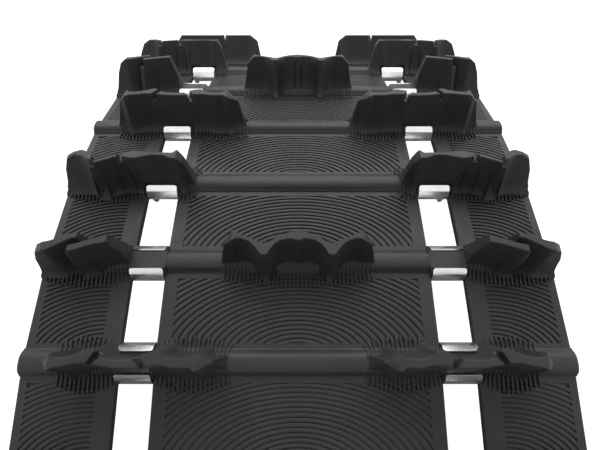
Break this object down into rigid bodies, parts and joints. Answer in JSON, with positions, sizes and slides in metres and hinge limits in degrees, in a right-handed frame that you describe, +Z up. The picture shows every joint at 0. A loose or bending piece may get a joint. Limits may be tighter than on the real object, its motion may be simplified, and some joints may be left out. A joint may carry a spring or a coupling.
{
  "type": "rubber snow track section",
  "caption": "Curved length of moulded rubber snow track with tall tread lugs, cross bars over fibreglass rods, two rows of windows with steel clips, and a flex line at every pitch.",
  "frame": {"origin": "under the middle of the section's box, on the surface that it stands on", "axes": "+Z up out of the tread at the middle pitch, +Y along the belt from pitch 1 towards pitch 9, +X across the belt to the right"},
  "size_m": [0.381, 0.6152, 0.1408],
  "materials": {
    "track_rubber": "satin moulded black rubber",
    "clip_steel": "bright zinc-plated steel",
    "rod_fibreglass": "pultruded fibreglass, pale yellow",
    "ply_polyester": "woven polyester carcass ply"
  },
  "bodies": {
    "pitch_1": {"belt_pitch_1": "track_rubber", "rod_1": "rod_fibreglass", "ply_1": "ply_polyester", "clip_left_1": "clip_steel", "clip_right_1": "clip_steel"},
    "pitch_2": {"belt_pitch_2": "track_rubber", "rod_2": "rod_fibreglass", "ply_2": "ply_polyester", "clip_left_2": "clip_steel", "clip_right_2": "clip_steel"},
    "pitch_3": {"belt_pitch_3": "track_rubber", "rod_3": "rod_fibreglass", "ply_3": "ply_polyester", "clip_left_3": "clip_steel", "clip_right_3": "clip_steel"},
    "pitch_4": {"belt_pitch_4": "track_rubber", "rod_4": "rod_fibreglass", "ply_4": "ply_polyester", "clip_left_4": "clip_steel", "clip_right_4": "clip_steel"},
    "pitch_5": {"belt_pitch_5": "track_rubber", "rod_5": "rod_fibreglass", "ply_5": "ply_polyester", "clip_left_5": "clip_steel", "clip_right_5": "clip_steel"},
    "pitch_6": {"belt_pitch_6": "track_rubber", "rod_6": "rod_fibreglass", "ply_6": "ply_polyester", "clip_left_6": "clip_steel", "clip_right_6": "clip_steel"},
    "pitch_7": {"belt_pitch_7": "track_rubber", "rod_7": "rod_fibreglass", "ply_7": "ply_polyester", "clip_left_7": "clip_steel", "clip_right_7": "clip_steel"},
    "pitch_8": {"belt_pitch_8": "track_rubber", "rod_8": "rod_fibreglass", "ply_8": "ply_polyester", "clip_left_8": "clip_steel", "clip_right_8": "clip_steel"},
    "pitch_9": {"belt_pitch_9": "track_rubber", "rod_9": "rod_fibreglass", "ply_9": "ply_polyester", "clip_left_9": "clip_steel", "clip_right_9": "clip_steel"}
  },
  "joints": [
    {"name": "flex_1", "type": "hinge", "parent": "pitch_2", "child": "pitch_1", "pos_m": [0, -0.2443, 0.04187], "axis": [1, 0, 0], "range_deg": [-13, 28], "stiffness_Nm_per_rad": 80},
    {"name": "flex_2", "type": "hinge", "parent": "pitch_3", "child": "pitch_2", "pos_m": [0, -0.17798, 0.0714], "axis": [1, 0, 0], "range_deg": [-13, 28], "stiffness_Nm_per_rad": 80},
    {"name": "flex_3", "type": "hinge", "parent": "pitch_4", "child": "pitch_3", "pos_m": [0, -0.10819, 0.09141], "axis": [1, 0, 0], "range_deg": [-13, 28], "stiffness_Nm_per_rad": 80},
    {"name": "flex_4", "type": "hinge", "parent": "pitch_5", "child": "pitch_4", "pos_m": [0, -0.0363, 0.10151], "axis": [1, 0, 0], "range_deg": [-13, 28], "stiffness_Nm_per_rad": 80},
    {"name": "flex_5", "type": "hinge", "parent": "pitch_5", "child": "pitch_6", "pos_m": [0, 0.0363, 0.10151], "axis": [-1, 0, 0], "range_deg": [-13, 28], "stiffness_Nm_per_rad": 80},
    {"name": "flex_6", "type": "hinge", "parent": "pitch_6", "child": "pitch_7", "pos_m": [0, 0.10819, 0.09141], "axis": [-1, 0, 0], "range_deg": [-13, 28], "stiffness_Nm_per_rad": 80},
    {"name": "flex_7", "type": "hinge", "parent": "pitch_7", "child": "pitch_8", "pos_m": [0, 0.17798, 0.0714], "axis": [-1, 0, 0], "range_deg": [-13, 28], "stiffness_Nm_per_rad": 80},
    {"name": "flex_8", "type": "hinge", "parent": "pitch_8", "child": "pitch_9", "pos_m": [0, 0.2443, 0.04187], "axis": [-1, 0, 0], "range_deg": [-13, 28], "stiffness_Nm_per_rad": 80}
  ]
}
